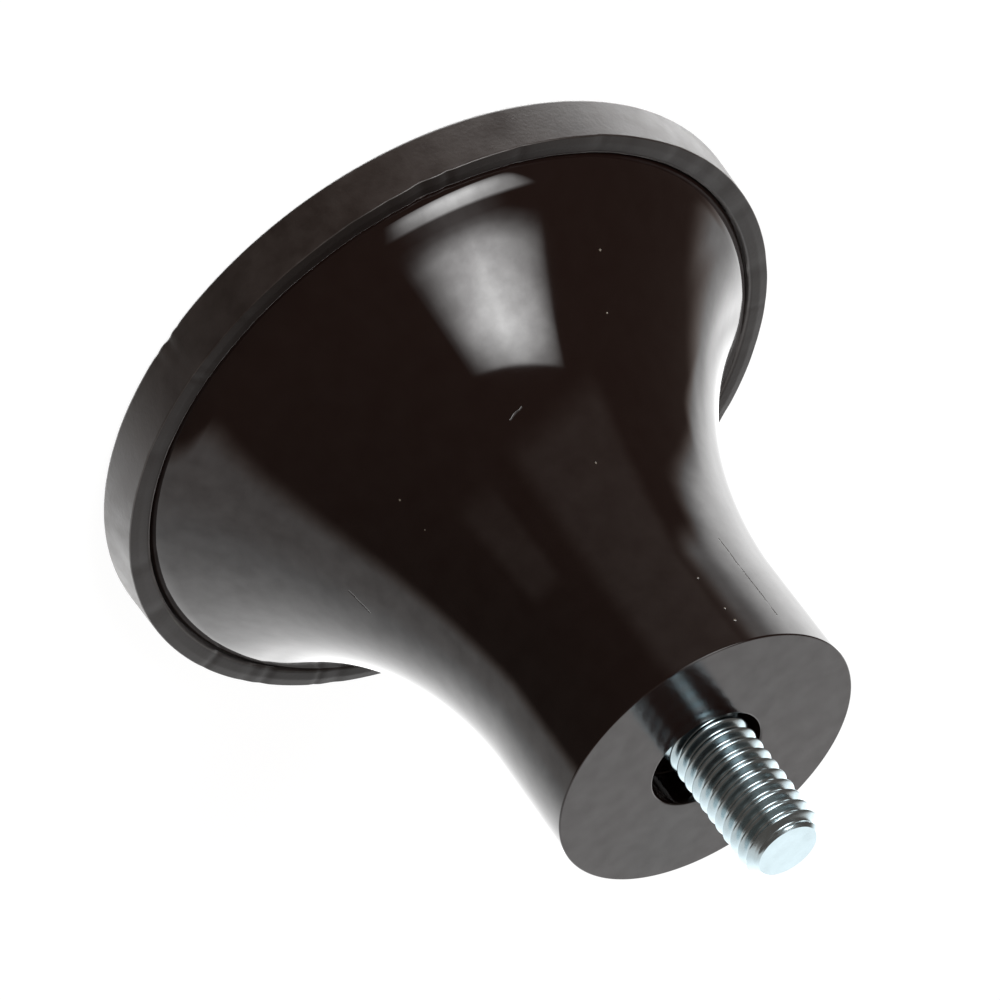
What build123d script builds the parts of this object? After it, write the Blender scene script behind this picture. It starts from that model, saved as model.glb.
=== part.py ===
from build123d import *
from math import radians, sqrt, tan
import os

# An appliance foot in millimetres, standing on its rubber pad with its stud up.
# The origin is the centre of the pad's underside, and +Z runs up the foot's axis.

# The moulded bell: outer form
foot_height = 39.0        # floor to the flat end face that meets the appliance
neck_radius = 11.65       # straight neck under the end face
flare_top_height = 30.5   # where the sweep of the bell leaves the straight neck
rim_radius = 24.7         # outside of the rim, at the wide end
rim_height = 4.0          # corner where the sweep would meet the outside of the rim
rim_round = 2.6           # round that takes that corner off
face_edge = 0.2           # chamfer at the outer edge of the end face

# The moulded bell: inside
shell_wall = 2.5          # moulded wall under the sweep and round the neck
rim_wall = 1.8            # width of the land that the rim stands on
core_tapers = 3           # the core that forms the hollow has this many straight tapers
gusset_count = 6
gusset_thickness = 1.8
gusset_inner_radius = 7.8  # the middle stays open, so that the bolt can go in
gusset_rise = 2.5         # gussets stop this far above the rim's land

# The well that the stud stands in, in the middle of the end face
well_radius = 4.4
well_depth = 3.0
well_edge = 0.3           # chamfer at the well's mouth

# The hexagon bolt whose shank is the stud
thread_radius = 3.0       # M6, outside of the thread
shank_radius = 2.675      # M6 pitch diameter, for the shank inside the foot
bolt_length = 16.0        # under the head, to the tip
stud_height = 9.5         # what stands out of the end face
bolt_offset = 0.7         # the bolt stands this far to -X of the foot's axis
tip_chamfer = 0.72
head_across_flats = 10.0
head_height = 4.0
head_chamfer_angle = 30.0
hole_clearance = 0.3      # radial, shank to body
pocket_clearance = 0.1    # each flat of the head to its pocket
pocket_sink = 0.6         # the head lies this far inside its pocket

# The rubber pad, a shallow cup that grips the rim
pad_height = 4.0
pad_floor = 2.0           # rubber under the rim
pad_draft = 0.2           # the outside is this much smaller at the top
pad_top_edge = 0.45       # chamfer
pad_bottom_edge = 0.3     # chamfer
rim_clearance = 0.1       # radial, rim to the foot of the cup's wall
lip_lead_in = 0.1         # the cup opens by this much towards its top
lip_width = 1.4           # top of the cup's wall, edge chamfer included
tread_width = 8.0         # ring of rubber that stands on the floor
tread_height = 0.6        # the middle of the underside is raised by this

grip_length = bolt_length - stud_height
head_seat_height = foot_height - grip_length
pocket_depth = head_height + pocket_sink
block_height = head_seat_height - pocket_depth
bolt_axis = Pos(-bolt_offset, 0, 0)

wall_foot_radius = rim_radius + rim_clearance
lip_inner_radius = wall_foot_radius + lip_lead_in
pad_top_radius = lip_inner_radius + lip_width
pad_radius = pad_top_radius + pad_draft

sweep_drop = flare_top_height - rim_height
sweep_spread = rim_radius - neck_radius
sweep_radius = (sweep_spread**2 + sweep_drop**2) / (2 * sweep_spread)


def sweep_at(height, wall=0.0):
    """Radius of the bell's sweep at a height, or of the surface one wall inside it."""
    return neck_radius + sweep_radius - sqrt((sweep_radius + wall) ** 2 - (flare_top_height - height) ** 2)


def corner_at(face, radius, height):
    """The corner of a half section nearest to a point given as radius and height."""
    point = Vector(radius, height, 0)
    return min(face.vertices(), key=lambda corner: (Vector(corner) - point).length)


def turned(face):
    """Turn a half section, drawn as radius and height, round the foot's axis."""
    return revolve(Plane.XZ * face, axis=Axis.Z)


def post(radius, low, high):
    """Upright round post between two heights."""
    return Pos(0, 0, low) * Cylinder(radius, high - low, align=(Align.CENTER, Align.CENTER, Align.MIN))


def hexagon(across_flats, low, high):
    """Upright hexagonal post between two heights."""
    outline = RegularPolygon(across_flats / 2, 6, major_radius=False)
    return extrude(Pos(0, 0, low) * outline, high - low)


def outer_bell():
    """The bell as it looks from outside, with no hollow in it."""
    rim_corner = (rim_radius, rim_height)
    neck_foot = (neck_radius, flare_top_height)
    middle_height = (rim_height + flare_top_height) / 2
    straight = Polyline(
        neck_foot,
        (neck_radius, foot_height),
        (0, foot_height),
        (0, pad_floor),
        (rim_radius, pad_floor),
        rim_corner,
    )
    sweep = ThreePointArc(rim_corner, (sweep_at(middle_height), middle_height), neck_foot)
    section = make_face(straight + sweep)
    section = fillet(corner_at(section, rim_radius, rim_height), rim_round)
    section = chamfer(corner_at(section, neck_radius, foot_height), face_edge)
    return turned(section)


def hollow():
    """The open inside of the bell, from the rim up to the block that holds the bolt."""
    taper_rise = (flare_top_height - pad_floor) / core_tapers
    heights = [pad_floor + taper_rise * step for step in range(1, core_tapers)]
    side = [(sweep_at(height, shell_wall), height) for height in heights]
    inner_neck = neck_radius - shell_wall
    section = Polyline(
        (0, pad_floor),
        (rim_radius - rim_wall, pad_floor),
        *side,
        (inner_neck, flare_top_height),
        (inner_neck, foot_height),
        (0, foot_height),
        close=True,
    )
    return turned(make_face(section)) - post(neck_radius, block_height, foot_height)


def gussets(inside):
    """Upright webs that stiffen the flare, trimmed to the hollow that they stand in."""
    foot = pad_floor + gusset_rise
    web = Box(
        rim_radius - gusset_inner_radius,
        gusset_thickness,
        block_height - foot,
        align=(Align.MIN, Align.CENTER, Align.MIN),
    )
    ring = [copy * Pos(gusset_inner_radius, 0, foot) * web for copy in PolarLocations(0, gusset_count)]
    return [inside & copy for copy in ring]


def bolt_cutout():
    """The well, the hole and the hexagonal pocket that the bolt goes through."""
    well = post(well_radius, foot_height - well_depth, foot_height)
    mouth = Pos(0, 0, foot_height - well_edge) * Cone(
        well_radius, well_radius + well_edge, well_edge, align=(Align.CENTER, Align.CENTER, Align.MIN)
    )
    hole = post(thread_radius + hole_clearance, block_height, foot_height)
    pocket = hexagon(head_across_flats + 2 * pocket_clearance, block_height, head_seat_height)
    return [well, mouth, bolt_axis * hole, bolt_axis * pocket]


def foot_body():
    """The moulded bell, hollow from below, with its gussets and its bolt seat."""
    inside = hollow()
    body = outer_bell() - inside
    for web in gussets(inside):
        body += web
    for cut in bolt_cutout():
        body -= cut
    return body


def stud_bolt():
    """Hexagon bolt, head down in its pocket, with a plain stud of the thread's outer size."""
    tip_height = foot_height + stud_height
    stud = post(thread_radius, foot_height, tip_height)
    stud = chamfer(stud.edges().group_by(Axis.Z)[-1], tip_chamfer)
    shank = post(shank_radius, head_seat_height, foot_height)
    head_foot = head_seat_height - head_height
    head = hexagon(head_across_flats, head_foot, head_seat_height)
    crown_radius = head_across_flats / 2
    crown = Pos(0, 0, head_foot) * Cone(
        crown_radius,
        crown_radius + head_height / tan(radians(head_chamfer_angle)),
        head_height,
        align=(Align.CENTER, Align.CENTER, Align.MIN),
    )
    return bolt_axis * (stud + shank + (head & crown))


def rubber_pad():
    """Rubber cup under the rim, standing on a ring of its own underside."""
    tread_inner = pad_radius - tread_width
    section = make_face(
        Polyline(
            (0, tread_height),
            (tread_inner, tread_height),
            (tread_inner, 0),
            (pad_radius, 0),
            (pad_top_radius, pad_height),
            (lip_inner_radius, pad_height),
            (wall_foot_radius, pad_floor),
            (0, pad_floor),
            close=True,
        )
    )
    section = chamfer(corner_at(section, pad_top_radius, pad_height), pad_top_edge)
    section = chamfer(corner_at(section, pad_radius, 0), pad_bottom_edge)
    return turned(section)


os.makedirs("parts", exist_ok=True)
export_step(foot_body(), "parts/foot_body.step")
export_step(stud_bolt(), "parts/stud_bolt.step")
export_step(rubber_pad(), "parts/rubber_pad.step")
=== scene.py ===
"""An appliance foot: glossy black moulded bell, rubber pad and zinc plated stud, in the frame of its CAD model."""

import logging
import math
import random
from dataclasses import dataclass, field
from enum import Enum
from typing import Any, Callable, Optional, Sequence

import bmesh
import bpy
from bpy.types import GeometryNodeTree, Material, Mesh, Node, NodeSocket, NodeTree, Object, ShaderNodeTree
from mathutils import Matrix, Vector

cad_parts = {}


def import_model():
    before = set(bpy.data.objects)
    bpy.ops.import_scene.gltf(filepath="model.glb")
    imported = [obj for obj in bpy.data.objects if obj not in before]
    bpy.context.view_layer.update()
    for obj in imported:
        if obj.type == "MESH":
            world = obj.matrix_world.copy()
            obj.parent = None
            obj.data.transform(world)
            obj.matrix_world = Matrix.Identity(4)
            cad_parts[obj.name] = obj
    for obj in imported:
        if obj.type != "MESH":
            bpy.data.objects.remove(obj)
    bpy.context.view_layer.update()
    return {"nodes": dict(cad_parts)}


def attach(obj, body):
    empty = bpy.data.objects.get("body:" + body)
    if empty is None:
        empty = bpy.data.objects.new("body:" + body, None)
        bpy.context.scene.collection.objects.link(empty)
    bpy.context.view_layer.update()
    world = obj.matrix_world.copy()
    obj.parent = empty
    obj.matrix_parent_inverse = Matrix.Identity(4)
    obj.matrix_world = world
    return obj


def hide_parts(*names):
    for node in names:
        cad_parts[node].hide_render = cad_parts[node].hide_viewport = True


frame: dict[str, Any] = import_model()

LOG = logging.getLogger("appliance_foot")
MM = 0.001
IMAGE_PIXELS = 1000
MERGE_DISTANCE = 0.002 * MM
CIRCLE_STEPS = 96
# a mark is solid up to this share of its half width, and fades from there
SOLID_SHARE = 0.4
WHITE = "#ffffff"

# kinds of node that the trees use most
MATH = "ShaderNodeMath"
VECTOR_MATH = "ShaderNodeVectorMath"
MIX = "ShaderNodeMix"
MAP_RANGE = "ShaderNodeMapRange"
NOISE = "ShaderNodeTexNoise"
BUMP = "ShaderNodeBump"

Point = tuple[float, float]
Triple = tuple[float, float, float]


def linear(hex_colour: str) -> tuple[float, float, float, float]:
    """Turn an sRGB hex colour into the linear red, green, blue and full alpha that a shader socket takes.

    Args:
        hex_colour: six hex digits with a leading hash.

    Returns:
        The four values.
    """
    parts = [int(hex_colour[i : i + 2], 16) / 255 for i in (1, 3, 5)]
    red, green, blue = [c / 12.92 if c <= 0.04045 else ((c + 0.055) / 1.055) ** 2.4 for c in parts]
    return red, green, blue, 1.0


def add_node(tree: NodeTree, kind: str, inputs: Optional[dict[Any, Any]] = None, **settings: Any) -> Node:
    """Add a node with its settings, its constants and the links that feed it.

    Args:
        tree: node tree that gets the node.
        kind: Blender's type name of the node.
        inputs: what each input gets, by its name or number: a socket or a node (its first output) is linked, and
            anything else is set as a constant.
        settings: properties of the node itself.

    Returns:
        The new node.
    """
    node = tree.nodes.new(kind)
    for name, value in settings.items():
        setattr(node, name, value)
    for key, value in (inputs or {}).items():
        source = value.outputs[0] if isinstance(value, Node) else value
        if isinstance(source, NodeSocket):
            tree.links.new(source, node.inputs[key])
        else:
            node.inputs[key].default_value = source
    return node


def new_group(kind: str, name: str, inputs: dict[str, str], output: tuple[str, str]) -> tuple[NodeTree, Any]:
    """Start a node group.

    Args:
        kind: Blender's type name of the group.
        name: name of the group.
        inputs: kind of each named input.
        output: name and kind of the only output.

    Returns:
        The group, and the sockets that its inputs come in by.
    """
    group = bpy.data.node_groups.new(name, kind)
    for label, sort in inputs.items():
        group.interface.new_socket(label, in_out="INPUT", socket_type="NodeSocket" + sort)
    group.interface.new_socket(output[0], in_out="OUTPUT", socket_type="NodeSocket" + output[1])
    return group, add_node(group, "NodeGroupInput").outputs


def new_material(name: str) -> tuple[Material, NodeTree, NodeSocket]:
    """Start a node material.

    Args:
        name: the real material's name.

    Returns:
        The material, its empty node tree, and the socket with the object's own coordinates.
    """
    made = bpy.data.materials.new(name)
    made.use_nodes = True
    made.node_tree.nodes.clear()
    return made, made.node_tree, add_node(made.node_tree, "ShaderNodeTexCoord").outputs["Object"]


def noise(place: Any, size_mm: float, detail: float, roughness: float = 0.5) -> dict[str, Any]:
    """Inputs of a noise texture whose features are of a size in millimetres."""
    return {"Vector": place, "Scale": 1 / (size_mm * MM), "Detail": detail, "Roughness": roughness}


def span(value: Any, start: Any, end: Any, low: float = 0.0, high: float = 1.0) -> dict[str, Any]:
    """Inputs of a map range that goes from low to high while the value goes from start to end."""
    return {"Value": value, "From Min": start, "From Max": end, "To Min": low, "To Max": high}


def level_ramp(tree: NodeTree, along: NodeSocket, stops: Sequence[Point]) -> Node:
    """Turn a share from 0 to 1 into a level that runs straight between stops.

    Args:
        tree: node tree that gets the nodes.
        along: socket with the share.
        stops: share and level of each stop, both from 0 to 1, in rising order.

    Returns:
        The node whose first output is the level.
    """
    ramp = add_node(tree, "ShaderNodeValToRGB", {0: along})
    elements = ramp.color_ramp.elements
    while len(elements) < len(stops):
        elements.new(0.5)
    for element, (position, level) in zip(elements, stops):
        element.position = position
        element.color = (level, level, level, 1.0)
    return ramp


class Slot(Enum):
    """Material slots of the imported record."""

    BODY = "body_plastic"
    PAD = "pad_rubber"
    BOLT = "bolt_zinc"


class Cut(Enum):
    """Ways of combining two closed meshes."""

    CARVE = "DIFFERENCE"
    JOIN = "UNION"
    KEEP_COMMON = "INTERSECT"


# Finishes


@dataclass(frozen=True)
class Mark:
    """A scratch between two places on a surface or, where there is no end, a speck of dust. In millimetres."""

    half_width: float
    start: Triple
    end: Optional[Triple] = None


def mark_group() -> ShaderNodeTree:
    """Build the node group that shows where a surface lies within a mark's width of the line between its ends.

    Returns:
        The group, with inputs Spot, Start, End and Width and output Mask.
    """
    inputs = {"Spot": "Vector", "Start": "Vector", "End": "Vector", "Width": "Float"}
    group, entry = new_group("ShaderNodeTree", "placed mark", inputs, ("Mask", "Float"))
    reach = add_node(group, VECTOR_MATH, {0: entry["Spot"], 1: entry["Start"]}, operation="SUBTRACT")
    length = add_node(group, VECTOR_MATH, {0: entry["End"], 1: entry["Start"]}, operation="SUBTRACT")
    along = add_node(group, VECTOR_MATH, {0: reach, 1: length}, operation="DOT_PRODUCT")
    square = add_node(group, VECTOR_MATH, {0: length, 1: length}, operation="DOT_PRODUCT")
    ratio = {0: along.outputs["Value"], 1: square.outputs["Value"]}
    share = add_node(group, MATH, ratio, operation="DIVIDE", use_clamp=True)
    nearest = add_node(group, VECTOR_MATH, {0: length, "Scale": share}, operation="SCALE")
    apart = add_node(group, VECTOR_MATH, {0: reach, 1: nearest}, operation="DISTANCE")
    core = add_node(group, MATH, {0: entry["Width"], 1: SOLID_SHARE}, operation="MULTIPLY")
    drawn = span(apart.outputs["Value"], entry["Width"], core)
    mask = add_node(group, MAP_RANGE, drawn, interpolation_type="SMOOTHSTEP")
    add_node(group, "NodeGroupOutput", {0: mask})
    return group


@dataclass(frozen=True)
class PolishedPlastic:
    """Black nylon or ABS, injection moulded in a polished mould: deep black with clear, mirror-like reflections.

    The mould's polish leaves a very slight ripple, and handling leaves a few hairline scratches and a little dust.
    """

    name: str = "moulded black plastic, polished"
    colour: str = "#1d110e"
    dust_colour: str = "#8a8174"
    roughness: float = 0.04
    scratch_roughness: float = 0.5
    face_height: float = 38.95
    face_roughness: float = 0.13
    ior: float = 1.53
    ripple_mm: float = 3.2
    smear_mm: float = 9.0
    film_mm: float = 1.7
    dust_mm: float = 3.4
    waver_mm: float = 0.9
    waver_width_mm: float = 0.2
    mirror: tuple[float, float] = (0.43, 0.59)

    def material(self, marks: Sequence[Mark] = ()) -> Material:
        """Build the node material.

        Args:
            marks: scratches and specks that have their own places.

        Returns:
            The material.
        """
        made, tree, place = new_material(self.name)
        # dust: small round specks, one in a few cells, drawn as coarse as they need to show
        cells = add_node(
            tree, "ShaderNodeTexVoronoi", {"Vector": place, "Scale": 1 / (self.dust_mm * MM), "Randomness": 1.0}
        )
        cell_pick = add_node(tree, "ShaderNodeSeparateColor", {"Color": cells.outputs["Color"]})
        dusty = span(cell_pick.outputs["Red"], 0.86, 1.0, 0.0, 0.03)
        speck_size = add_node(tree, MAP_RANGE, dusty)
        speck = add_node(tree, MATH, {0: cells.outputs["Distance"], 1: speck_size}, operation="LESS_THAN")
        # a hand's scratch wavers by a few hundredths of a millimetre
        waver = add_node(tree, NOISE, noise(place, self.waver_mm, 1.0))
        width = self.waver_width_mm * MM
        about = {0: waver.outputs["Color"], 1: (width,) * 3, 2: (-width / 2,) * 3}
        shift = add_node(tree, VECTOR_MATH, about, operation="MULTIPLY_ADD")
        spot = add_node(tree, VECTOR_MATH, {0: place, 1: shift}, operation="ADD")
        dust, flaw = speck, speck
        group = mark_group()
        for mark in marks:
            half = mark.half_width * MM
            start = tuple(value * MM for value in mark.start)
            if mark.end is None:
                apart = add_node(tree, VECTOR_MATH, {0: place, 1: start}, operation="DISTANCE")
                drawn = add_node(tree, MAP_RANGE, span(apart.outputs["Value"], half, SOLID_SHARE * half))
                dust = add_node(tree, MATH, {0: dust, 1: drawn}, operation="MAXIMUM")
            else:
                end = tuple(value * MM for value in mark.end)
                line = {"Spot": spot, "Start": start, "End": end, "Width": half}
                drawn = add_node(tree, "ShaderNodeGroup", line, node_tree=group)
            flaw = add_node(tree, MATH, {0: flaw, 1: drawn}, operation="MAXIMUM")
        tones = {0: dust, 6: linear(self.colour), 7: linear(self.dust_colour)}
        colour = add_node(tree, MIX, tones, data_type="RGBA")
        smear = add_node(tree, NOISE, noise(place, self.smear_mm, 3.0))
        smeared = span(smear, 0.35, 0.7, self.roughness * 0.7, self.roughness * 1.8)
        clean = add_node(tree, MAP_RANGE, smeared)
        # the end face comes off a flat of the mould that is less polished
        height = add_node(tree, "ShaderNodeSeparateXYZ", {0: place}).outputs["Z"]
        on_face = add_node(tree, MATH, {0: height, 1: self.face_height * MM}, operation="GREATER_THAN")
        satin = add_node(tree, MIX, {0: on_face, 2: clean, 3: self.face_roughness}, data_type="FLOAT")
        rough = add_node(tree, MIX, {0: flaw, 2: satin, 3: self.scratch_roughness}, data_type="FLOAT")
        ripple = add_node(tree, NOISE, noise(place, self.ripple_mm, 1.0))
        moulded = add_node(tree, BUMP, {"Height": ripple, "Strength": 0.12, "Distance": 0.02 * MM})
        scored = {"Height": flaw, "Normal": moulded, "Strength": 0.6, "Distance": 0.03 * MM}
        marked = add_node(tree, BUMP, scored, invert=True)
        # a thin uneven film of handling: clouds in the bright reflections
        film = add_node(tree, NOISE, noise(place, self.film_mm, 3.0, 0.55))
        mirror = add_node(tree, MAP_RANGE, span(film, 0.3, 0.7, *self.mirror))
        shader = add_node(
            tree,
            "ShaderNodeBsdfPrincipled",
            {
                "Base Color": colour.outputs[2],
                "Roughness": rough,
                "Normal": marked,
                "Specular IOR Level": mirror,
                "IOR": self.ior,
            },
        )
        add_node(tree, "ShaderNodeOutputMaterial", {"Surface": shader})
        return made


@dataclass(frozen=True)
class MouldedRubber:
    """Black nitrile rubber, compression moulded: matt, with a fine grain and a patchy pale bloom on its surface."""

    name: str = "moulded black rubber, matt"
    colour: str = "#20140f"
    bloom_colour: str = "#3a312d"
    roughness: float = 0.36
    mirror: float = 0.72
    sheen: float = 0.42
    # painted shade: the lip's upward-facing top is coloured darker than the plain rubber
    lip_top_colour_with_painted_shade: str = "#1a1310"
    lip_roughness: float = 0.5
    lip_mirror: float = 0.38
    ior: float = 1.58
    grain_mm: float = 0.28
    bloom_mm: float = 2.8

    def material(self) -> Material:
        """Build the node material.

        Returns:
            The material.
        """
        made, tree, place = new_material(self.name)
        bloom = add_node(tree, NOISE, noise(place, self.bloom_mm, 5.0, 0.65))
        patchy = add_node(tree, MAP_RANGE, span(bloom, 0.38, 0.72))
        tones = {0: patchy, 6: linear(self.colour), 7: linear(self.bloom_colour)}
        colour = add_node(tree, MIX, tones, data_type="RGBA")
        uneven = span(bloom, 0.3, 0.75, self.roughness * 0.8, self.roughness * 1.3)
        rough = add_node(tree, MAP_RANGE, uneven)
        # the lip's flat top has no bloom and is duller than the side, and its colour is darker, which is painted shade
        # on the upward-facing top; its rounded edge catches the light
        facing = add_node(tree, "ShaderNodeTexCoord").outputs["Normal"]
        upward = add_node(tree, "ShaderNodeSeparateXYZ", {0: facing}).outputs["Z"]
        lip = add_node(tree, MAP_RANGE, span(upward, 0.8, 0.97), interpolation_type="SMOOTHSTEP")
        # painted shade: faces that point up take the darker lip colour
        tones = {0: lip, 6: colour.outputs[2], 7: linear(self.lip_top_colour_with_painted_shade)}
        shade = add_node(tree, MIX, tones, data_type="RGBA")
        sides = ((rough, self.lip_roughness), (self.mirror, self.lip_mirror), (self.sheen, 0.0))
        dull, mirror, sheen = [
            add_node(tree, MIX, {0: lip, 2: side, 3: top}, data_type="FLOAT") for side, top in sides
        ]
        grain = add_node(tree, NOISE, noise(place, self.grain_mm, 2.0, 0.6))
        fine = add_node(tree, BUMP, {"Height": grain, "Strength": 0.3, "Distance": 0.03 * MM})
        coarse = {"Height": bloom, "Normal": fine, "Strength": 0.3, "Distance": 0.08 * MM}
        relief = add_node(tree, BUMP, coarse)
        shader = add_node(
            tree,
            "ShaderNodeBsdfPrincipled",
            {
                "Base Color": shade.outputs[2],
                "Roughness": dull,
                "Normal": relief,
                "Specular IOR Level": mirror,
                "Sheen Weight": sheen,
                "IOR": self.ior,
                "Sheen Roughness": 0.4,
            },
        )
        add_node(tree, "ShaderNodeOutputMaterial", {"Surface": shader})
        return made


@dataclass(frozen=True)
class BrightZinc:
    """Bright zinc plated steel, rolled: cool, slightly blue metal with soft highlights and faint rolling lines."""

    name: str = "bright zinc plated steel"
    colour: str = "#cfe1e7"
    shade_colour: str = "#b9cad0"
    roughness: float = 0.19
    line_mm: float = 0.12
    cloud_mm: float = 1.6

    def material(self) -> Material:
        """Build the node material.

        Returns:
            The material.
        """
        made, tree, place = new_material(self.name)
        cloud = add_node(tree, NOISE, noise(place, self.cloud_mm, 4.0, 0.6))
        tones = {0: cloud, 6: linear(self.colour), 7: linear(self.shade_colour)}
        colour = add_node(tree, MIX, tones, data_type="RGBA")
        cloudy = span(cloud, 0.3, 0.7, self.roughness * 0.75, self.roughness * 1.4)
        rough = add_node(tree, MAP_RANGE, cloudy)
        lines = add_node(tree, NOISE, noise(place, self.line_mm, 2.0))
        relief = add_node(tree, BUMP, {"Height": lines, "Strength": 0.25, "Distance": 0.01 * MM})
        look = {"Base Color": colour.outputs[2], "Roughness": rough, "Normal": relief, "Metallic": 1.0}
        shader = add_node(tree, "ShaderNodeBsdfPrincipled", look)
        add_node(tree, "ShaderNodeOutputMaterial", {"Surface": shader})
        return made


# Mesh helpers


def section_mesh(name: str, points: Sequence[Point]) -> Mesh:
    """Make a half section as a chain of points, with radius along X and height along Z.

    Args:
        name: name of the mesh.
        points: radius and height of each point, in millimetres.

    Returns:
        The mesh.
    """
    mesh = bpy.data.meshes.new(name)
    chain = [(i, i + 1) for i in range(len(points) - 1)]
    mesh.from_pydata([(radius * MM, 0.0, height * MM) for radius, height in points], chain, [])
    return mesh


def rounded_chain(corners: Sequence[Triple], steps: int = 8, guard: float = 0.04) -> list[Point]:
    """Draw a chain of straight runs whose corners are rounded.

    Args:
        corners: radius, height and rounding radius of each corner, in millimetres.
        steps: number of facets in each rounding.
        guard: length of the short run beside each rounding that keeps its neighbour flat.

    Returns:
        Radius and height of each point, in order.
    """
    made: list[Point] = []
    for i, (radius, height, rounding) in enumerate(corners):
        here = Vector((radius, height))
        if rounding <= 0 or i in (0, len(corners) - 1):
            made.append((radius, height))
            continue
        back = (Vector(corners[i - 1][:2]) - here).normalized()
        ahead = (Vector(corners[i + 1][:2]) - here).normalized()
        half = math.acos(max(-1.0, min(1.0, back.dot(ahead)))) / 2
        reach = rounding / math.tan(half)
        centre = here + (back + ahead).normalized() * (rounding / math.sin(half))
        start, end = here + back * reach, here + ahead * reach
        first, last = start - centre, end - centre
        sweep = first.angle_signed(last)
        made.append(tuple(start + back * guard))
        for step in range(steps + 1):
            turned = first.copy()
            turned.rotate(Matrix.Rotation(-sweep * step / steps, 2))
            made.append(tuple(centre + turned))
        made.append(tuple(end + ahead * guard))
    return made


def evaluated(mesh: Mesh, modify: Callable[[Object], None]) -> Mesh:
    """Put a mesh through modifiers and keep the result as a plain mesh.

    Args:
        mesh: mesh that the modifiers start from.
        modify: adds the modifiers to the object that it is given.

    Returns:
        The new mesh. The object and its modifiers are removed.
    """
    holder = bpy.data.objects.new(mesh.name + "_holder", mesh)
    bpy.context.scene.collection.objects.link(holder)
    modify(holder)
    depsgraph = bpy.context.evaluated_depsgraph_get()
    result = bpy.data.meshes.new_from_object(holder.evaluated_get(depsgraph), depsgraph=depsgraph)
    holder.modifiers.clear()
    bpy.data.objects.remove(holder)
    return result


def through_tree(mesh: Mesh, tree: GeometryNodeTree, inputs: dict[str, Any]) -> Mesh:
    """Put a mesh through a geometry node tree.

    Args:
        mesh: geometry that goes in.
        tree: the node tree.
        inputs: values of the tree's named inputs.

    Returns:
        The tree's result as a plain mesh.
    """

    def modify(holder: Object) -> None:
        """Add the tree as a modifier and set its inputs by their identifiers."""
        modifier = holder.modifiers.new("tree", "NODES")
        modifier.node_group = tree
        for item in tree.interface.items_tree:
            if item.item_type == "SOCKET" and item.in_out == "INPUT" and item.name in inputs:
                modifier[item.identifier] = inputs[item.name]

    return evaluated(mesh, modify)


def combined(first: Mesh, second: Mesh, way: Cut) -> Mesh:
    """Combine two closed meshes.

    Args:
        first: mesh that is kept, cut or added to.
        second: mesh that cuts or is added.
        way: how the two are combined.

    Returns:
        The new mesh.
    """
    tool = bpy.data.objects.new("tool", second)
    bpy.context.scene.collection.objects.link(tool)

    def modify(holder: Object) -> None:
        """Add the boolean modifier."""
        modifier = holder.modifiers.new("cut", "BOOLEAN")
        modifier.operation = way.value
        modifier.solver = "EXACT"
        modifier.object = tool

    result = evaluated(first, modify)
    bpy.data.objects.remove(tool)
    return result


def tidied(mesh: Mesh, close: bool = False, sharp_degrees: float = 28.0) -> Mesh:
    """Merge doubles, close open ends, turn faces outwards and shade smooth except across sharp edges.

    Args:
        mesh: mesh that is changed.
        close: fill each open edge loop with a face.
        sharp_degrees: angle between faces above which an edge shades as sharp.

    Returns:
        The same mesh.
    """
    work = bmesh.new()
    work.from_mesh(mesh)
    bmesh.ops.remove_doubles(work, verts=work.verts, dist=MERGE_DISTANCE)
    bmesh.ops.dissolve_degenerate(work, edges=work.edges, dist=MERGE_DISTANCE / 10)
    if close:
        bmesh.ops.holes_fill(work, edges=[edge for edge in work.edges if edge.is_boundary], sides=0)
    bmesh.ops.recalc_face_normals(work, faces=work.faces)
    work.to_mesh(mesh)
    work.free()
    mesh.shade_smooth()
    mesh.set_sharp_from_angle(angle=math.radians(sharp_degrees))
    return mesh


def prism(name: str, outline: Sequence[Point], low: float, high: float) -> Mesh:
    """Make an upright prism from a closed outline.

    Args:
        name: name of the mesh.
        outline: X and Y of the corners, in millimetres.
        low: height of the lower end.
        high: height of the upper end.

    Returns:
        The closed mesh.
    """
    count = len(outline)
    corners = [(x * MM, y * MM, height * MM) for height in (low, high) for x, y in outline]
    sides = [(i, (i + 1) % count, (i + 1) % count + count, i + count) for i in range(count)]
    ends = [tuple(range(count - 1, -1, -1)), tuple(range(count, 2 * count))]
    mesh = bpy.data.meshes.new(name)
    mesh.from_pydata(corners, [], sides + ends)
    return mesh


def ring_points(radius: float, count: int, centre_x: float = 0.0) -> list[Point]:
    """X and Y of the corners of a regular polygon whose first corner points to +X."""
    turns = [math.tau * i / count for i in range(count)]
    return [(centre_x + radius * math.cos(turn), radius * math.sin(turn)) for turn in turns]


def new_piece(name: str, mesh: Mesh, node: str) -> Object:
    """Put a finished mesh into the scene in place of a CAD node.

    Args:
        name: name of the piece.
        mesh: its mesh, in the row frame.
        node: CAD node that the piece stands for.

    Returns:
        The new object.
    """
    piece = bpy.data.objects.new(name, mesh)
    mesh.name = name
    bpy.context.scene.collection.objects.link(piece)
    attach(piece, "root")
    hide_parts(node)
    triangles = sum(len(face.vertices) - 2 for face in mesh.polygons)
    LOG.info("%s stands for %s: %d triangles", name, node, triangles)
    return piece


# Geometry node trees


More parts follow.
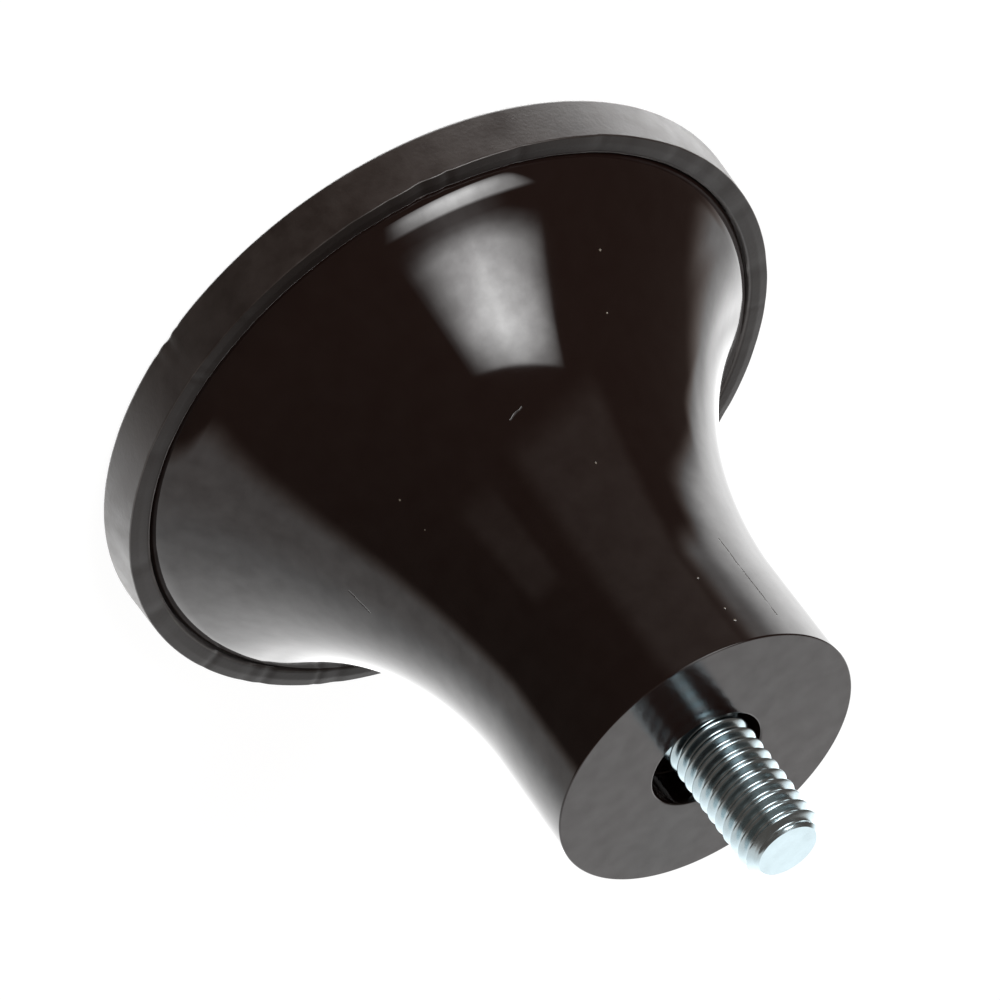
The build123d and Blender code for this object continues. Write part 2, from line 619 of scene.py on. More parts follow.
def turned_grid(tree: GeometryNodeTree, around: Any, columns: Any) -> tuple[Any, Any, Any]:
    """Make the flat grid of a form that is to be bent round the Z axis, with a row of points for each step.

    Args:
        tree: node tree that gets the nodes.
        around: number of steps round the axis.
        columns: number of points in each row.

    Returns:
        The grid, each point's number in its row, and the share of a turn at which its row stands.
    """
    rows = add_node(tree, MATH, {0: around, 1: 1.0}, operation="ADD")
    grid = add_node(tree, "GeometryNodeMeshGrid", {"Vertices X": rows, "Vertices Y": columns})
    index = add_node(tree, "GeometryNodeInputIndex")
    column = add_node(tree, MATH, {0: index, 1: columns}, operation="MODULO")
    middle = add_node(tree, MATH, {0: index, 1: 0.5}, operation="ADD")
    share = add_node(tree, MATH, {0: middle, 1: columns}, operation="DIVIDE")
    row = add_node(tree, MATH, {0: share}, operation="FLOOR")
    part_turn = add_node(tree, MATH, {0: row, 1: around}, operation="DIVIDE")
    return grid, column, part_turn


def dress(tree: GeometryNodeTree, geometry: Any, finish: NodeSocket) -> None:
    """End a tree: make its copies real and give them the material."""
    real = add_node(tree, "GeometryNodeRealizeInstances", {"Geometry": geometry})
    dressed = add_node(tree, "GeometryNodeSetMaterial", {"Geometry": real, "Material": finish})
    add_node(tree, "NodeGroupOutput", {0: dressed})


def bend_round(tree: GeometryNodeTree, grid: Any, place: tuple[Any, Any, Any, Any], finish: NodeSocket) -> None:
    """Bend the flat grid round the Z axis, close its seam and its poles, and end the tree.

    Args:
        tree: node tree that gets the nodes.
        grid: the flat grid.
        place: for each point the share of a turn, the radius, the height and the X of the axis.
        finish: socket with the material.
    """
    part_turn, radius, height, axis_x = place
    angle = add_node(tree, MATH, {0: part_turn, 1: math.tau}, operation="MULTIPLY")
    cosine = add_node(tree, MATH, {0: angle}, operation="COSINE")
    sine = add_node(tree, MATH, {0: angle}, operation="SINE")
    x = add_node(tree, MATH, {0: radius, 1: cosine, 2: axis_x}, operation="MULTIPLY_ADD")
    y = add_node(tree, MATH, {0: radius, 1: sine}, operation="MULTIPLY")
    goal = add_node(tree, "ShaderNodeCombineXYZ", {0: x, 1: y, 2: height})
    placed = add_node(tree, "GeometryNodeSetPosition", {"Geometry": grid, "Position": goal})
    dress(tree, add_node(tree, "GeometryNodeMergeByDistance", {"Geometry": placed, "Distance": MERGE_DISTANCE}), finish)


def turned_form_tree() -> GeometryNodeTree:
    """Build the tree that turns a half section round the Z axis.

    Returns:
        The tree, with inputs Section, Steps and Finish.
    """
    inputs = {"Section": "Geometry", "Steps": "Int", "Finish": "Material"}
    tree, entry = new_group("GeometryNodeTree", "turned form", inputs, ("Form", "Geometry"))
    section = entry["Section"]
    counted = add_node(tree, "GeometryNodeAttributeDomainSize", {"Geometry": section}, component="MESH")
    grid, column, part_turn = turned_grid(tree, entry["Steps"], counted.outputs["Point Count"])
    picked = {"Geometry": section, "Value": add_node(tree, "GeometryNodeInputPosition"), "Index": column}
    sampled = add_node(tree, "GeometryNodeSampleIndex", picked, data_type="FLOAT_VECTOR", domain="POINT")
    parts = add_node(tree, "ShaderNodeSeparateXYZ", {0: sampled}).outputs
    bend_round(tree, grid, (part_turn, parts["X"], parts["Z"], 0.0), entry["Finish"])
    return tree


def ring_tree() -> GeometryNodeTree:
    """Build the tree that repeats a piece evenly round the Z axis.

    Returns:
        The tree, with inputs Piece, Count and Finish.
    """
    inputs = {"Piece": "Geometry", "Count": "Int", "Finish": "Material"}
    tree, entry = new_group("GeometryNodeTree", "ring of pieces", inputs, ("Ring", "Geometry"))
    points = add_node(tree, "GeometryNodePoints", {"Count": entry["Count"]})
    index = add_node(tree, "GeometryNodeInputIndex")
    share = add_node(tree, MATH, {0: index, 1: entry["Count"]}, operation="DIVIDE")
    angle = add_node(tree, MATH, {0: share, 1: math.tau}, operation="MULTIPLY")
    turn = add_node(tree, "ShaderNodeCombineXYZ", {2: angle})
    copies = {"Points": points, "Instance": entry["Piece"], "Rotation": turn}
    dress(tree, add_node(tree, "GeometryNodeInstanceOnPoints", copies), entry["Finish"])
    return tree


def thread_tree() -> GeometryNodeTree:
    """Build the tree that rolls a right-hand thread on a rod, with a 45 degree chamfer at its tip.

    The grid follows the helix: its columns run along the rod and its rows go round it, one pitch up a turn.

    Returns:
        The tree, with inputs for the thread's sizes, the grid's steps and the finish.
    """
    sizes = ("Outer Radius", "Depth", "Pitch", "Low", "High", "Tip Radius", "Offset", "Start")
    inputs = dict.fromkeys(sizes, "Float") | dict.fromkeys(("Around", "Per Turn", "Turns"), "Int")
    tree, entry = new_group("GeometryNodeTree", "rolled thread", inputs | {"Finish": "Material"}, ("Rod", "Geometry"))
    pitch, low, high = entry["Pitch"], entry["Low"], entry["High"]
    along = {0: entry["Per Turn"], 1: entry["Turns"], 2: 1.0}
    columns = add_node(tree, MATH, along, operation="MULTIPLY_ADD")
    grid, column, part_turn = turned_grid(tree, entry["Around"], columns)
    climbed = add_node(tree, MATH, {0: column, 1: entry["Per Turn"]}, operation="DIVIDE")
    turns = add_node(tree, MATH, {0: climbed, 1: part_turn}, operation="ADD")
    below = add_node(tree, MATH, {0: turns, 1: 1.0}, operation="SUBTRACT")
    free_height = add_node(tree, MATH, {0: below, 1: pitch, 2: low}, operation="MULTIPLY_ADD")
    height = add_node(tree, "ShaderNodeClamp", {"Value": free_height, "Min": low, "Max": high})
    pitches = add_node(tree, MATH, {0: height, 1: pitch}, operation="DIVIDE")
    phase = add_node(tree, MATH, {0: pitches, 1: part_turn}, operation="SUBTRACT")
    shifted = add_node(tree, MATH, {0: phase, 1: entry["Start"]}, operation="ADD")
    cycle = add_node(tree, MATH, {0: shifted}, operation="FRACT")
    centred = add_node(tree, MATH, {0: cycle, 1: 0.5}, operation="SUBTRACT")
    apart = add_node(tree, MATH, {0: centred}, operation="ABSOLUTE")
    # rolled thread: a rounded crest, and a root an eighth of a pitch wide
    flank = {"Value": apart, "From Min": 0.0625, "From Max": 0.5}
    straight = add_node(tree, MAP_RANGE, flank)
    eased = add_node(tree, MAP_RANGE, flank, interpolation_type="SMOOTHSTEP")
    worn = add_node(tree, MIX, {0: 0.85, 2: straight, 3: eased}, data_type="FLOAT")
    root = add_node(tree, MATH, {0: entry["Outer Radius"], 1: entry["Depth"]}, operation="SUBTRACT")
    full = add_node(tree, MATH, {0: worn, 1: entry["Depth"], 2: root}, operation="MULTIPLY_ADD")
    to_tip = add_node(tree, MATH, {0: high, 1: height}, operation="SUBTRACT")
    slope = add_node(tree, MATH, {0: to_tip, 1: entry["Tip Radius"]}, operation="ADD")
    radius = add_node(tree, MATH, {0: full, 1: slope}, operation="MINIMUM")
    bend_round(tree, grid, (part_turn, radius, height, entry["Offset"]), entry["Finish"])
    return tree


# Sub-assemblies, sizes in millimetres


@dataclass
class StudBolt:
    """The hexagon bolt whose threaded shank is the foot's stud."""

    thread_radius: float = 3.0
    pitch: float = 1.0
    thread_depth: float = 0.58
    low: float = 32.3
    tip_height: float = 48.5
    tip_radius: float = 2.28
    offset: float = -0.7
    start: float = 0.0
    seat_height: float = 32.5
    head_height: float = 4.0
    head_across_flats: float = 10.0
    around: int = 120
    per_turn: int = 22
    sharp_degrees: float = 38.0
    finish: BrightZinc = field(default_factory=BrightZinc)

    def shank(self, material: Material) -> Mesh:
        """Roll the threaded shank, closed at both ends.

        Args:
            material: finish of the bolt.

        Returns:
            The mesh.
        """
        turns = math.ceil((self.tip_height - self.low) / self.pitch) + 1
        lengths = {
            "Outer Radius": self.thread_radius,
            "Depth": self.thread_depth,
            "Pitch": self.pitch,
            "Low": self.low,
            "High": self.tip_height,
            "Tip Radius": self.tip_radius,
            "Offset": self.offset,
        }
        inputs = {name: length * MM for name, length in lengths.items()}
        inputs |= {"Start": self.start, "Around": self.around, "Per Turn": self.per_turn, "Turns": turns}
        inputs["Finish"] = material
        rod = through_tree(bpy.data.meshes.new("rod"), thread_tree(), inputs)
        return tidied(rod, close=True, sharp_degrees=self.sharp_degrees)

    def head(self) -> Mesh:
        """Make the hexagon head, its corners cut by a 30 degree cone.

        Returns:
            The mesh.
        """
        low = self.seat_height - self.head_height
        corner = self.head_across_flats / 2 / math.cos(math.radians(30))
        hexagon = prism("hexagon", ring_points(corner, 6, self.offset), low, self.seat_height)
        spread = self.head_height * math.tan(math.radians(60))
        rim = self.head_across_flats / 2
        lower = ring_points(rim, CIRCLE_STEPS, self.offset)
        upper = ring_points(rim + spread, CIRCLE_STEPS, self.offset)
        crown = prism("crown", lower, low, self.seat_height)
        for vertex, (x, y) in zip(list(crown.vertices)[CIRCLE_STEPS:], upper):
            vertex.co.x, vertex.co.y = x * MM, y * MM
        return combined(hexagon, crown, Cut.KEEP_COMMON)

    def build(self) -> Object:
        """Make the bolt and put it in place of its CAD node.

        Returns:
            The piece.
        """
        material = self.finish.material()
        work = bmesh.new()
        for part in (self.shank(material), self.head()):
            work.from_mesh(part)
        joined = bpy.data.meshes.new("bolt")
        work.to_mesh(joined)
        work.free()
        joined.materials.clear()
        joined.materials.append(material)
        joined.set_sharp_from_angle(angle=math.radians(self.sharp_degrees))
        return new_piece("threaded_stud_bolt", joined, "stud_bolt")


@dataclass
class MouldedBell:
    """The hollow moulded body: neck, swept flare, rounded rim, well, gussets and bolt seat."""

    foot_height: float = 39.0
    neck_radius: float = 11.65
    flare_top: float = 30.5
    rim_radius: float = 24.7
    rim_height: float = 4.0
    rim_round: float = 3.1
    rim_shoulder: float = 4.5
    shoulder_tilt: float = 33.0
    flare_tilt: float = 48.3
    face_round: float = 0.1
    land_height: float = 2.0
    land_width: float = 1.8
    wall: float = 2.5
    tapers: int = 3
    block_height: float = 27.9
    seat_height: float = 32.5
    well_radius: float = 4.3
    well_depth: float = 3.0
    well_lip: float = 0.15
    hole_radius: float = 3.3
    pocket_across_flats: float = 10.2
    bolt_offset: float = -0.7
    gusset_count: int = 6
    gusset_thickness: float = 1.8
    gusset_inner: float = 7.8
    gusset_low: float = 4.5
    gusset_sunk: float = 0.4
    gusset_steps: int = 12
    sweep_steps: int = 56
    round_steps: int = 24
    steps: int = 256
    seen_marks: tuple[Mark, ...] = (
        Mark(0.12, (-15.12, -12.89, 8.54)),
        Mark(0.09, (-12.87, -11.35, 12.1)),
        Mark(0.09, (-3.0, -14.38, 16.55), (-4.2, -14.24, 16.18)),
        Mark(0.1, (6.33, -13.58, 15.9)),
        Mark(0.07, (6.17, -12.46, 18.37)),
        Mark(0.09, (-5.97, -11.37, 21.61)),
        Mark(0.09, (13.04, -7.77, 15.51), (12.74, -6.67, 17.24)),
        Mark(0.07, (-9.62, -6.6, 29.45), (-9.6, -6.58, 37.06)),
        Mark(0.09, (-6.8, -9.43, 32.73)),
        Mark(0.09, (-7.03, -9.29, 35.82)),
        Mark(0.12, (-7.07, -9.23, 37.01)),
    )
    far_marks: int = 6
    finish: PolishedPlastic = field(default_factory=PolishedPlastic)

    def marks(self) -> list[Mark]:
        """Add short scratches on the far side to the marks that the photo shows.

        Returns:
            All marks. The scattered ones come from a fixed seed.
        """
        scatter = random.Random(11)
        made = list(self.seen_marks)
        for _ in range(self.far_marks):
            turn = math.radians(scatter.uniform(10, 170))
            low = scatter.uniform(self.rim_height + 2, self.foot_height - 3)
            ends = []
            for angle, height in ((turn, low), (turn + scatter.uniform(-0.09, 0.09), low + scatter.uniform(0.3, 1.6))):
                radius = self.neck_radius if height > self.flare_top else self.sweep_at(height)
                ends.append((radius * math.cos(angle), radius * math.sin(angle), height))
            made.append(Mark(scatter.uniform(0.05, 0.08), ends[0], ends[1]))
        return made

    @property
    def sweep_radius(self) -> float:
        """Radius of the arc that the flare follows."""
        spread, drop = self.rim_radius - self.neck_radius, self.flare_top - self.rim_height
        return (spread**2 + drop**2) / (2 * spread)

    def sweep_at(self, height: float, wall: float = 0.0) -> float:
        """Radius of the flare at a height, or of the surface one wall inside it."""
        reach = math.sqrt((self.sweep_radius + wall) ** 2 - (self.flare_top - height) ** 2)
        return self.neck_radius + self.sweep_radius - reach

    def inner_side(self) -> list[Point]:
        """The hollow's side from the land up to the neck, as the core's straight tapers."""
        rise = (self.flare_top - self.land_height) / self.tapers
        heights = [self.land_height + rise * step for step in range(1, self.tapers)]
        side = [(self.sweep_at(height, self.wall), height) for height in heights]
        land = (self.rim_radius - self.land_width, self.land_height)
        return [land, *side, (self.neck_radius - self.wall, self.flare_top)]

    def flare(self) -> list[Point]:
        """Draw the outside from the neck's foot down to the rim.

        Returns:
            Points of the flare's arc, of a short straight run, and of the rim's rounding, which is wider at its
            shoulder than at its outside. Each run starts in the direction in which the last one ends.
        """
        flare, shoulder = math.radians(self.flare_tilt), math.radians(self.shoulder_tilt)
        made: list[Point] = [(self.neck_radius, self.flare_top)]
        for step in range(1, self.sweep_steps + 1):
            tilt = flare * step / self.sweep_steps
            radius = self.neck_radius + self.sweep_radius * (1 - math.cos(tilt))
            made.append((radius, self.flare_top - self.sweep_radius * math.sin(tilt)))
        rounding: list[Point] = []
        for size, start, end in ((self.rim_shoulder, flare, shoulder), (self.rim_round, shoulder, 0.0)):
            radius, height = rounding[-1] if rounding else (0.0, 0.0)
            for step in range(1, self.round_steps + 1):
                tilt = start + (end - start) * step / self.round_steps
                across, down = math.cos(tilt) - math.cos(start), math.sin(start) - math.sin(tilt)
                rounding.append((radius + size * across, height - size * down))
        straight = (self.rim_radius - made[-1][0] - rounding[-1][0]) / math.sin(flare)
        radius = made[-1][0] + straight * math.sin(flare)
        height = made[-1][1] - straight * math.cos(flare)
        made.append((radius, height))
        made.extend((radius + across, height + up) for across, up in rounding)
        return made

    def section(self) -> list[Point]:
        """Draw the whole half section, from the well's floor round the outside to the block inside.

        Returns:
            Radius and height of each point.
        """
        well_floor = self.foot_height - self.well_depth
        top = rounded_chain(
            [
                (0.0, well_floor, 0.0),
                (self.well_radius, well_floor, 0.15),
                (self.well_radius, self.foot_height, self.well_lip),
                (self.neck_radius, self.foot_height, self.face_round),
                (self.neck_radius, self.flare_top, 0.0),
            ]
        )[:-1]
        tapers = self.inner_side()
        block_radius = self.neck_radius - self.wall
        for (r0, z0), (r1, z1) in zip(tapers, tapers[1:]):
            if z0 <= self.block_height <= z1:
                block_radius = r0 + (r1 - r0) * (self.block_height - z0) / (z1 - z0)
        inside = [point for point in tapers if point[1] < self.block_height]
        foot = (self.rim_radius, self.land_height)
        return [*top, *self.flare(), foot, *inside, (block_radius, self.block_height), (0.0, self.block_height)]

    def web(self) -> Mesh:
        """Make one gusset, a flat web whose outer edge runs inside the bell's wall.

        Returns:
            The mesh.
        """
        buried = 0.5 * self.wall
        rise = (self.block_height + self.gusset_sunk - self.gusset_low) / self.gusset_steps
        heights = [self.gusset_low + rise * step for step in range(self.gusset_steps + 1)]
        outer = [(self.sweep_at(height, buried), height) for height in heights]
        outline = [(self.gusset_inner, heights[0]), *outer, (self.gusset_inner, heights[-1])]
        half = self.gusset_thickness / 2
        flat = prism("web", outline, -half, half)
        for vertex in flat.vertices:
            x, height, across = vertex.co
            vertex.co = (x, -across, height)
        return flat

    def build(self) -> Object:
        """Make the bell and put it in place of its CAD node.

        Returns:
            The piece.
        """
        material = self.finish.material(self.marks())
        turned = {"Steps": self.steps, "Finish": material}
        shell = through_tree(section_mesh("bell_section", self.section()), turned_form_tree(), turned)
        tidied(shell)
        webs = through_tree(self.web(), ring_tree(), {"Count": self.gusset_count, "Finish": material})
        tidied(webs)
        round_hole = ring_points(self.hole_radius, CIRCLE_STEPS, self.bolt_offset)
        hole = prism("hole", round_hole, self.block_height + 1, self.foot_height - 1)
        corner = self.pocket_across_flats / 2 / math.cos(math.radians(30))
        pocket = prism("pocket", ring_points(corner, 6, self.bolt_offset), self.block_height - 1, self.seat_height)
        solid = combined(shell, webs, Cut.JOIN)
        for cutter in (hole, pocket):
            tidied(cutter)
            solid = combined(solid, cutter, Cut.CARVE)
        tidied(solid)
        solid.materials.clear()
        solid.materials.append(material)
        return new_piece("moulded_bell", solid, "foot_body")


@dataclass
class RubberPad:
    """The rubber cup round the rim, with the slightly uneven lip of a hand-trimmed moulding."""

    height: float = 4.0
    floor: float = 2.0
    radius: float = 26.5
    draft: float = 0.2
    rim_radius: float = 24.7
    rim_clearance: float = 0.1
    lip_lean: float = 0.22
    lip_round: float = 0.12
    lip_inner_round: float = 0.4
    lip_crown: float = 0.1
    bottom_round: float = 0.3
    tread_width: float = 8.0
    tread_height: float = 0.6
    lip_middle: float = 0.8
    waviness: float = 0.05
    # heading from the camera's side and half width, both in degrees, and depth of the nicks that the photo shows
    nicks: tuple[Triple, ...] = ((-17.0, 1.4, 0.08), (-21.5, 0.8, 0.08))
    foot_nicks: tuple[Triple, ...] = ((28.5, 0.9, 0.16), (26.0, 0.7, 0.07), (31.5, 0.8, 0.06))
    foot_rise: float = 1.2
    small_nicks: int = 60
    steps: int = 720
    finish: MouldedRubber = field(default_factory=MouldedRubber)

    def section(self) -> list[Point]:
        """Draw the half section, from the middle of the underside round the outside to the cup's floor.

        Returns:
            Radius and height of each point.
        """
        wall_foot = self.rim_radius + self.rim_clearance
        tread_inner = self.radius - self.tread_width
        return rounded_chain(
            [
                (0.0, self.tread_height, 0.0),
                (tread_inner, self.tread_height, 0.15),
                (tread_inner, 0.0, 0.15),
                (self.radius, 0.0, self.bottom_round),
                (self.radius - 0.06, 1.2, 0.0),
                (self.radius - self.draft, self.height - self.lip_crown, self.lip_round),
                (wall_foot + self.lip_middle, self.height, 0.9),
                (wall_foot - self.lip_lean, self.height - self.lip_crown, self.lip_inner_round),
                (wall_foot, self.floor, 0.1),
                (0.0, self.floor, 0.0),
            ],
            steps=6,
        )

    def all_nicks(self) -> list[Triple]:
        """The nicks of the photo and small scattered ones, from a fixed seed."""
        scatter = random.Random(5)
        small = [
            (scatter.uniform(-180, 180), scatter.uniform(0.5, 2.2), scatter.uniform(0.01, 0.06))
            for _ in range(self.small_nicks)
        ]
        return [*self.nicks, *small]

    def nicked(self, angle: float, nicks: Sequence[Triple]) -> float:
        """Depth of the nicks at an angle round the axis, in millimetres."""
        heading = math.degrees(angle) + 90
        depth = 0.0
        for place, width, full in nicks:
            apart = (heading - place + 180) % 360 - 180
            depth += full * math.exp(-((apart / width) ** 2)) if abs(apart) < 4 * width else 0.0
        return depth

    def unevenness(self, angle: float, nicks: Sequence[Triple]) -> float:
        """How far the lip sinks at an angle, in millimetres.

        Args:
            angle: angle round the axis from +X, in radians.
            nicks: heading, half width and depth of each nick.

        Returns:
            Slow waves and nicks, never above the plain height.
        """
        waves = sum(math.sin(angle * k + k * k * 0.7) / math.sqrt(k) for k in (2, 3, 5, 9, 14))
        return self.waviness * (waves / 5 - 1) / 2 - self.nicked(angle, nicks)

    def build(self) -> Object:
        """Make the pad and put it in place of its CAD node.

        Returns:
            The piece.
        """
        material = self.finish.material()
        turned = {"Steps": self.steps, "Finish": material}
        mesh = through_tree(section_mesh("pad_section", self.section()), turned_form_tree(), turned)
        nicks = self.all_nicks()
        for vertex in mesh.vertices:
            radius = math.hypot(vertex.co.x, vertex.co.y)
            angle = math.atan2(vertex.co.y, vertex.co.x)
            lift = (vertex.co.z / MM - self.floor) / (self.height - self.floor)
            if lift > 0 and radius > self.rim_radius * MM:
                vertex.co.z += self.unevenness(angle, nicks) * lift * MM
            low = 1 - vertex.co.z / MM / self.foot_rise
            if low > 0 and radius > self.rim_radius * MM:
                inward = 1 - self.nicked(angle, self.foot_nicks) * low * MM / radius
                vertex.co.x *= inward
                vertex.co.y *= inward
        tidied(mesh)
        return new_piece("moulded_rubber_pad", mesh, "rubber_pad")


# Studio


@dataclass(frozen=True)
class Wall:
    """A soft-edged bright part of the room, as the glossy bell mirrors it.

    Headings run round the foot in degrees: 0 towards the camera, 90 to its right, 180 behind the foot. Both ranges
    give where the brightness starts to rise, is full, starts to fall and has gone.
    """

    heading: tuple[float, float, float, float]
    elevation: tuple[float, float, float, float]
    level: float


@dataclass
class Studio:
    """White table, soft box, room and camera, placed as the reflections and outlines of the photo give them."""

    camera_mm: Triple = (0.0, -315.600608, 223.394016)
    aim_mm: Triple = (0.84374425, -0.00225573, 11.7168071)
    roll_degrees: float = -143.517148
    focal_pixels: float = 5336.0
    sensor_mm: float = 36.0
    lamp_aim_mm: Triple = (-5.0, -12.0, 15.0)
    lamp_away: Triple = (-0.5945, -0.5441, 0.5921)
    lamp_across: Triple = (0.7813, -0.5454, 0.3036)
    lamp_upward: Triple = (0.1901, 0.6712, 0.7165)
    lamp_distance: float = 1.0
    lamp_shift: tuple[float, float] = (0.031, 0.006)
    lamp_size: tuple[float, float] = (0.805, 0.606)
    lamp_radiance: float = 12.6
    lamp_across_stops: tuple[Point, ...] = (
        (0.0, 0.0), (0.04, 0.12), (0.09, 0.26), (0.16, 0.42), (0.28, 0.66), (0.4, 0.9), (0.5, 1.0), (0.6, 0.8),
        (0.7, 0.6), (0.8, 0.36), (0.88, 0.17), (0.95, 0.04), (1.0, 0.0),
    )
    lamp_upward_stops: tuple[Point, ...] = (
        (0.0, 0.0), (0.03, 0.4), (0.12, 0.64), (0.2, 0.84), (0.3, 1.0), (0.42, 0.97), (0.6, 0.8), (0.72, 0.68),
        (0.8, 0.62), (0.86, 0.36), (0.93, 0.12), (1.0, 0.0),
    )
    table_half: float = 1.5
    table_top_mm: float = -0.02
    table_grain_mm: float = 40.0
    table_colours: tuple[str, str] = ("#6a6a6a", "#6e6e6e")
    table_glow: float = 0.94
    dim_level: float = 0.1
    dim_colour: str = "#ffe4d4"
    walls: tuple[Wall, ...] = (
        # the white wall from the right round the back, its brighter middle, and the strip above the table's far edge
        Wall((76, 89, 212, 229), (-91, -90, 50, 70), 0.75),
        Wall((95, 150, 202, 221), (-91, -90, 15, 50), 0.75),
        Wall((150, 168, 200, 213), (-19, -14, 0, 15), 0.8),
        Wall((204, 212, 219, 231), (-2, 5, 15, 30), 0.5),
        # the table, lit most by the soft box on the left
        Wall((98, 125, 190, 208), (-91, -90, -27, -12), 0.5),
        Wall((198, 231, 244, 272), (-91, -90, -25, -14), 2.9),
        Wall((246, 262, 274, 290), (-91, -90, -35, -25), 1.2),
        Wall((213, 221, 228, 236), (-24, -17, -15, -11), 0.7),
        # the table close to the foot, which only the rubber mirrors
        Wall((198, 225, 285, 325), (-91, -90, -48, -38), 3.6),
        Wall((102, 125, 165, 190), (-91, -90, -48, -38), 1.8),
        # dim things beside the camera
        Wall((283, 294, 338, 354), (-60, -38, 2, 12), 0.2),
        Wall((2, 10, 24, 34), (-26, -20, -2, 8), 0.13),
    )

    def camera(self) -> None:
        """Make the scene's camera at the photo's viewpoint."""
        spot, aim = Vector(self.camera_mm) * MM, Vector(self.aim_mm) * MM
        ahead = (aim - spot).normalized()
        upright = (Vector((0, 0, 1)) - ahead * ahead.z).normalized()
        side = ahead.cross(upright)
        roll = math.radians(self.roll_degrees)
        up = upright * math.cos(roll) + side * math.sin(roll)
        right = ahead.cross(up)
        data = bpy.data.cameras.new("camera")
        data.sensor_width = self.sensor_mm
        data.lens = self.focal_pixels / IMAGE_PIXELS * self.sensor_mm
        data.clip_start, data.clip_end = 0.01, 20.0
        camera = bpy.data.objects.new("camera", data)
        camera.matrix_world = Matrix.Translation(spot) @ Matrix((right, up, -ahead)).transposed().to_4x4()
        bpy.context.scene.collection.objects.link(camera)
        bpy.context.scene.camera = camera

    def lamp(self) -> None:
        """Hang the soft box in front and to the left of the foot. Its cloth glows most round its middle."""
        across = Vector(self.lamp_across).normalized()
        upward = Vector(self.lamp_upward).normalized()
        facing = across.cross(upward)
        spot = Vector(self.lamp_aim_mm) * MM + Vector(self.lamp_away).normalized() * self.lamp_distance
        spot += across * self.lamp_shift[0] + upward * self.lamp_shift[1]
        data = bpy.data.lights.new("soft box", "AREA")
        data.shape = "RECTANGLE"
        data.size, data.size_y = self.lamp_size
        data.energy = self.lamp_radiance * math.pi * data.size * data.size_y
        data.use_nodes = True
        tree = data.node_tree
        tree.nodes.clear()
        spread = add_node(tree, "ShaderNodeNewGeometry").outputs["Parametric"]
        shares = add_node(tree, "ShaderNodeSeparateXYZ", {0: spread}).outputs
        levels = [
            level_ramp(tree, shares[axis], stops)
            for axis, stops in (("X", self.lamp_across_stops), ("Y", self.lamp_upward_stops))
        ]
        level = add_node(tree, MATH, {0: levels[0], 1: levels[1]}, operation="MULTIPLY")
        glow = add_node(tree, "ShaderNodeEmission", {"Strength": level, "Color": linear(WHITE)})
        add_node(tree, "ShaderNodeOutputLight", {0: glow})
        lamp = bpy.data.objects.new("soft box", data)
        lamp.matrix_world = Matrix.Translation(spot) @ Matrix((across, upward, facing)).transposed().to_4x4()
        bpy.context.scene.collection.objects.link(lamp)

    def world(self) -> None:
        """Light the room with its walls, and make it plain white where the camera sees it."""
        world = bpy.data.worlds.new("room")
        bpy.context.scene.world = world
        world.use_nodes = True
        tree = world.node_tree
        tree.nodes.clear()
        direction = add_node(tree, "ShaderNodeTexCoord").outputs["Generated"]
        parts = add_node(tree, "ShaderNodeSeparateXYZ", {0: direction}).outputs
        leftward = add_node(tree, MATH, {0: parts["X"], 1: -1.0}, operation="MULTIPLY")
        turn = add_node(tree, MATH, {0: leftward, 1: parts["Y"]}, operation="ARCTAN2")
        degrees = {0: turn, 1: 180 / math.pi, 2: 180.0}
        heading = add_node(tree, MATH, degrees, operation="MULTIPLY_ADD")
        rise = add_node(tree, MATH, {0: parts["Z"]}, operation="ARCSINE")
        elevation = add_node(tree, MATH, {0: rise}, operation="DEGREES")
        total: Any = self.dim_level
        for wall in self.walls:
            share: Any = 1.0
            for angle, marks in ((heading, wall.heading), (elevation, wall.elevation)):
                for dark, full in ((marks[0], marks[1]), (marks[3], marks[2])):
                    rising = span(angle, dark, full)
                    edge = add_node(tree, MAP_RANGE, rising, interpolation_type="SMOOTHSTEP")
                    share = add_node(tree, MATH, {0: share, 1: edge}, operation="MULTIPLY")
            brighter = {0: share, 1: wall.level, 2: total}
            total = add_node(tree, MATH, brighter, operation="MULTIPLY_ADD")
        seen = add_node(tree, "ShaderNodeLightPath").outputs["Is Camera Ray"]
        strength = add_node(tree, MIX, {0: seen, 2: total, 3: 1.0}, data_type="FLOAT")
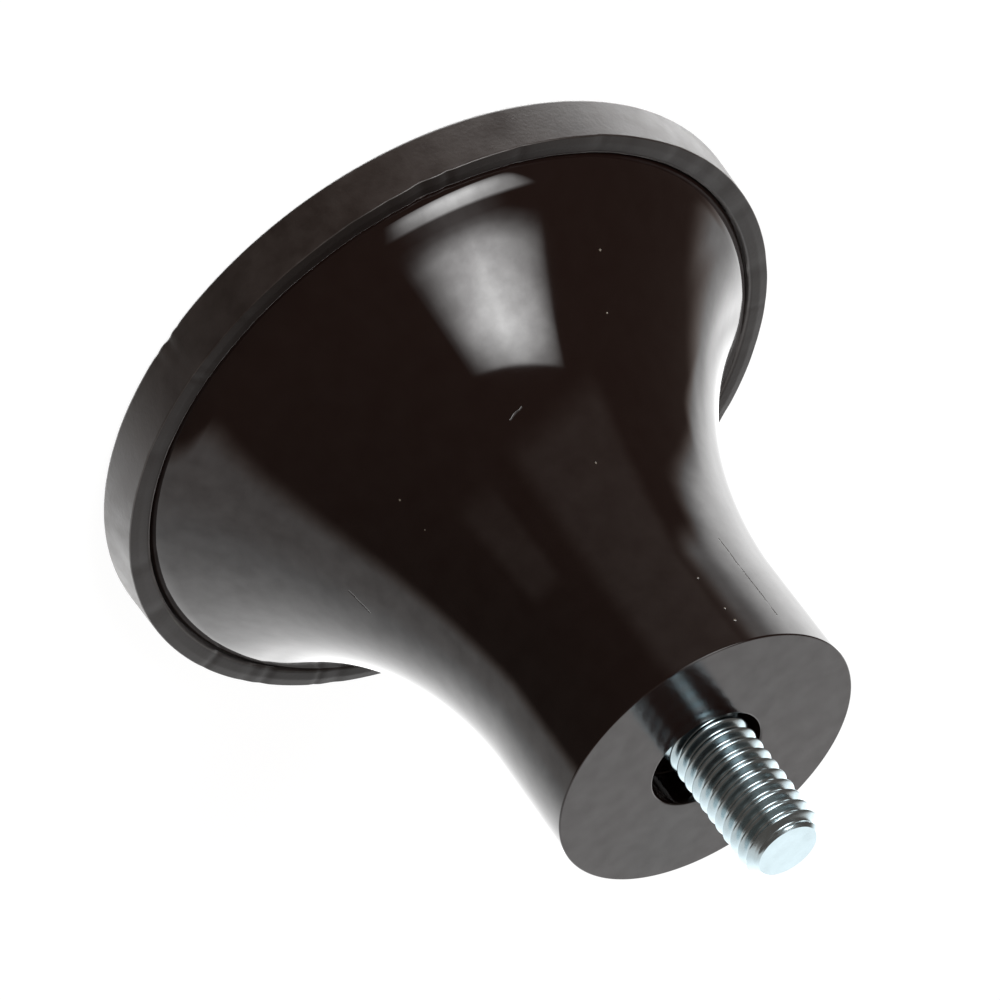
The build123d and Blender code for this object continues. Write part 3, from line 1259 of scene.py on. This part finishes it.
        # the unlit side of the room is warm, and its lit side white
        sides = {0: total, 6: linear(self.dim_colour), 7: linear(WHITE)}
        tint = add_node(tree, MIX, sides, data_type="RGBA")
        tone = add_node(tree, MIX, {0: seen, 6: tint.outputs[2], 7: linear(WHITE)}, data_type="RGBA")
        light = add_node(tree, "ShaderNodeBackground", {"Strength": strength, "Color": tone.outputs[2]})
        add_node(tree, "ShaderNodeOutputWorld", {0: light})

    def table(self) -> None:
        """Make the white table top. It keeps the shadow, and mirror rays pass through it to the room's walls."""
        half, top = self.table_half, self.table_top_mm * MM
        corners = [(-half, -half, top), (half, -half, top), (half, half, top), (-half, half, top)]
        mesh = bpy.data.meshes.new("table")
        mesh.from_pydata(corners, [], [(0, 1, 2, 3)])
        table = bpy.data.objects.new("table", mesh)
        bpy.context.scene.collection.objects.link(table)
        material, tree, place = new_material("white laminate, satin")
        ray = add_node(tree, "ShaderNodeLightPath")
        shown = {0: ray.outputs["Is Camera Ray"], 1: self.table_glow}
        seen = add_node(tree, MATH, shown, operation="MULTIPLY")
        glow = add_node(tree, "ShaderNodeEmission", {"Strength": seen, "Color": linear(WHITE)})
        grain = add_node(tree, NOISE, noise(place, self.table_grain_mm, 2.0))
        tones = {0: grain, 6: linear(self.table_colours[0]), 7: linear(self.table_colours[1])}
        tone = add_node(tree, MIX, tones, data_type="RGBA")
        laminate = add_node(tree, "ShaderNodeBsdfDiffuse", {"Color": tone.outputs[2]})
        both = add_node(tree, "ShaderNodeAddShader", {0: laminate, 1: glow})
        mirrored = {0: ray.outputs["Is Glossy Ray"], 1: ray.outputs["Is Transmission Ray"]}
        through = add_node(tree, MATH, mirrored, operation="MAXIMUM")
        clear = add_node(tree, "ShaderNodeBsdfTransparent")
        mixed = add_node(tree, "ShaderNodeMixShader", {0: through, 1: both, 2: clear})
        add_node(tree, "ShaderNodeOutputMaterial", {"Surface": mixed})
        mesh.materials.append(material)

    def build(self) -> None:
        """Set up the table, the light, the camera and the view transform."""
        self.table()
        self.lamp()
        self.world()
        self.camera()
        bpy.context.scene.view_settings.view_transform = "Standard"


def main() -> None:
    """Build the foot's pieces and the studio; each piece's triangle count is logged."""
    logging.basicConfig(level=logging.INFO, format="%(name)s: %(message)s")
    for assembly in (MouldedBell(), RubberPad(), StudBolt()):
        piece = assembly.build()
        LOG.info("%s done", piece.name)
    Studio().build()


if __name__ == "__main__":
    main()
